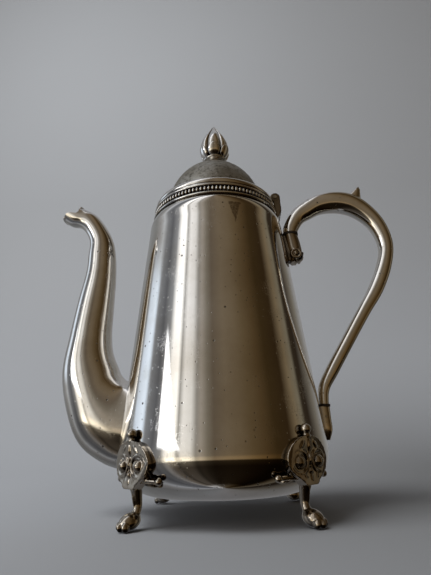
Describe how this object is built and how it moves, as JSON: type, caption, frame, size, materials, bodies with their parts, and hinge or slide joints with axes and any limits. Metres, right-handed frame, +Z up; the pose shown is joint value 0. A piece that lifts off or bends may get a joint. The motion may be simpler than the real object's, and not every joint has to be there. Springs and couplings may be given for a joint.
{
  "type": "coffee pot",
  "caption": "Tall footed coffee pot with a swan-neck spout, an insulated loop handle and a hinged domed lid with a bud finial.",
  "frame": {"origin": "on the pot's vertical axis, at the level of the four feet", "axes": "+Z up along the pot's axis, +X towards the handle and lid hinge, -X towards the spout, +Y to the pot's left seen from the spout"},
  "size_m": [0.2106, 0.111, 0.245],
  "materials": {
    "silver_plate": "polished, worn, with fine scratches and pits",
    "silver_plate_worn": "dull, speckled plate",
    "nickel_silver": "plain turned metal",
    "insulator": "matt dark brown fibre"
  },
  "bodies": {
    "pot": {"body_shell": "silver_plate", "base_plate": "silver_plate", "rim_band": "silver_plate", "seat_ring": "silver_plate", "spout_shell": "silver_plate", "handle_grip": "silver_plate", "upper_socket": "silver_plate", "lower_socket": "silver_plate", "upper_insulator": "insulator", "lower_insulator": "insulator", "upper_tenon": "nickel_silver", "lower_tenon": "nickel_silver", "handle_pins": "nickel_silver", "thumb_rest": "silver_plate", "foot_front_handle": "silver_plate", "foot_rear_handle": "silver_plate", "foot_rear_spout": "silver_plate", "foot_front_spout": "silver_plate", "hinge_body_leaf": "silver_plate", "hinge_pin": "nickel_silver"},
    "lid": {"lid_flange": "silver_plate", "lid_dome": "silver_plate_worn", "lid_bezel": "silver_plate", "finial_collar": "silver_plate", "finial_calyx": "silver_plate", "finial_bud": "silver_plate", "finial_stud": "nickel_silver", "finial_washer": "nickel_silver", "finial_nut": "nickel_silver", "hinge_lid_leaf": "silver_plate"}
  },
  "joints": [
    {"name": "lid_hinge", "type": "hinge", "parent": "pot", "child": "lid", "pos_m": [0.0388, 0, 0.1806], "axis": [0, 1, 0], "range_deg": [0, 100]}
  ]
}
